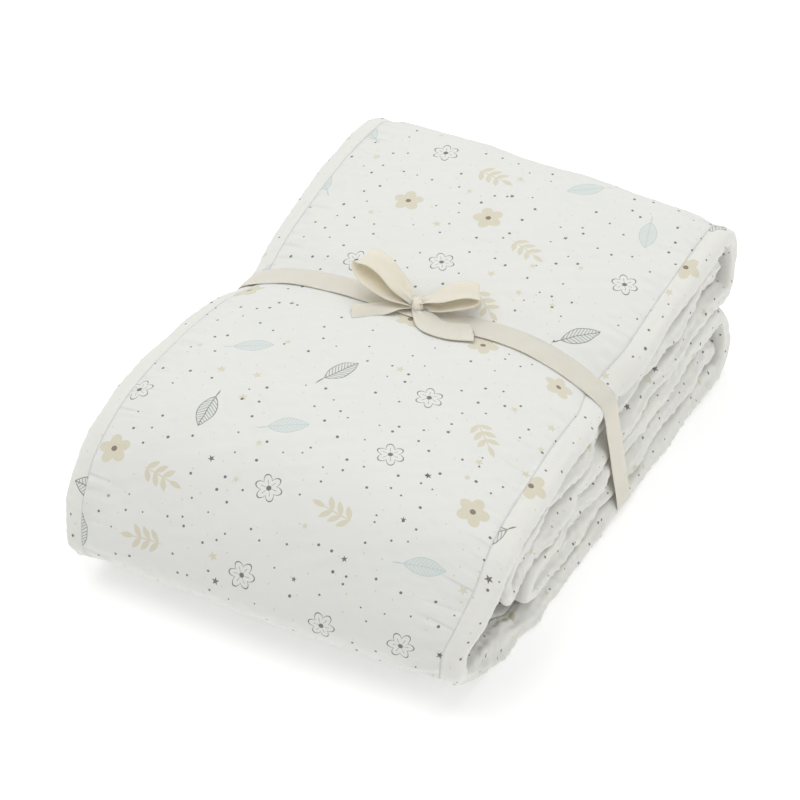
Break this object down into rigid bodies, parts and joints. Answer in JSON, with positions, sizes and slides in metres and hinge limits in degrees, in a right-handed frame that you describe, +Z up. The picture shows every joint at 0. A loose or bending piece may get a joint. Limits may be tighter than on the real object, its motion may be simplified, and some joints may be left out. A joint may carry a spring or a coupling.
{
  "type": "folded crib bumper tied with a tape",
  "caption": "Long padded crib bumper, folded back and forth into a bundle under one outer wrap and held by a cotton tape tied in a bow.",
  "frame": {"origin": "on the surface the bundle lies on, under the middle of the whole bundle", "axes": "+X across the bumper's width, -Y to the big front fold, +Y to the two humps of folds at the back, +Z up through the layers"},
  "size_m": [0.3159, 0.4376, 0.1531],
  "materials": {
    "printed_cotton": "matt woven cotton, off-white with a small scattered print",
    "roll_cotton_left": "the same printed cotton, rolled over the edge padding",
    "roll_cotton_right": "the same printed cotton, rolled over the edge padding",
    "natural_tape": "matt natural cotton twill tape"
  },
  "bodies": {
    "root": {"bumper_panel": "printed_cotton", "edge_roll_left": "roll_cotton_left", "edge_roll_right": "roll_cotton_right", "tie_tape": "natural_tape"}
  },
  "joints": []
}
